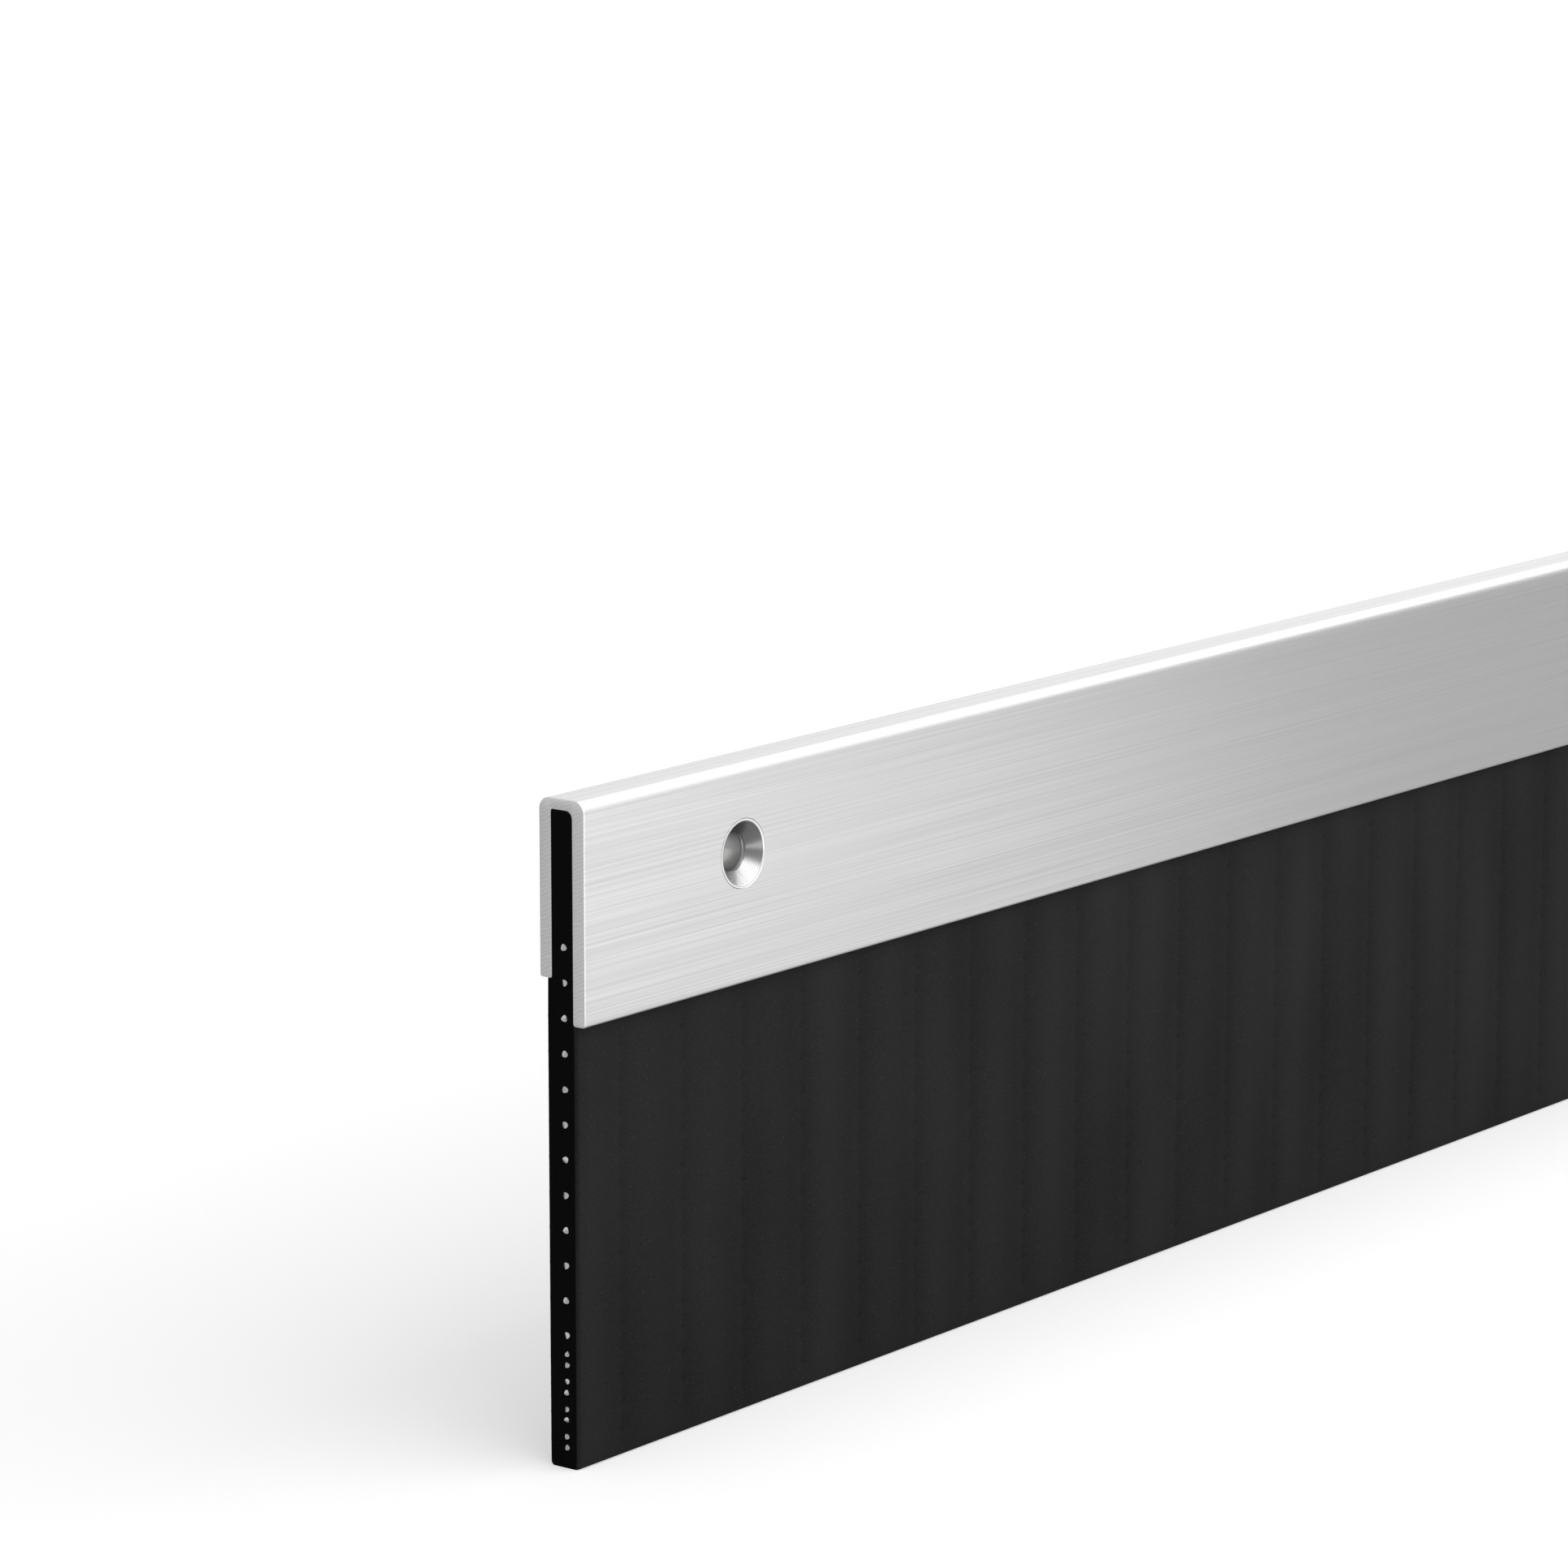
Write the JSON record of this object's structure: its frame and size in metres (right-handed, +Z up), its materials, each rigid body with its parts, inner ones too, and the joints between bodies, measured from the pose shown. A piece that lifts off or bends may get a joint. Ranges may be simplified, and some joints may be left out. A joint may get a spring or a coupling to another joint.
{
  "type": "rodent proof door seal",
  "caption": "Door-bottom seal: an aluminium channel with lined countersunk screw holes grips a black rubber blade that has steel wires moulded in to keep rodents out.",
  "frame": {"origin": "on the back face that lies on the door, at mid-length, at the height of the screw holes", "axes": "+X along the seal, +Y into the door (the seal's front faces -Y), +Z up"},
  "size_m": [1, 0.0075, 0.09],
  "materials": {
    "brushed_aluminium": "satin, brushed lengthwise and clear anodised",
    "black_rubber": "matt moulded",
    "steel_wire": "drawn, bright where cut",
    "polished_sleeve": "polished"
  },
  "bodies": {
    "root": {"aluminium_carrier": "brushed_aluminium", "rubber_blade": "black_rubber", "cross_wires": "steel_wire", "mesh_wire_1": "steel_wire", "mesh_wire_2": "steel_wire", "mesh_wire_3": "steel_wire", "mesh_wire_4": "steel_wire", "mesh_wire_5": "steel_wire", "mesh_wire_6": "steel_wire", "mesh_wire_7": "steel_wire", "mesh_wire_8": "steel_wire", "mesh_wire_9": "steel_wire", "mesh_wire_10": "steel_wire", "mesh_wire_11": "steel_wire", "mesh_wire_12": "steel_wire", "hem_wire_1": "steel_wire", "hem_wire_2": "steel_wire", "hem_wire_3": "steel_wire", "hem_wire_4": "steel_wire", "hem_wire_5": "steel_wire", "hem_wire_6": "steel_wire", "hem_wire_7": "steel_wire", "hem_wire_8": "steel_wire", "screw_sleeve_1": "polished_sleeve", "screw_sleeve_2": "polished_sleeve", "screw_sleeve_3": "polished_sleeve", "screw_sleeve_4": "polished_sleeve"}
  },
  "joints": []
}
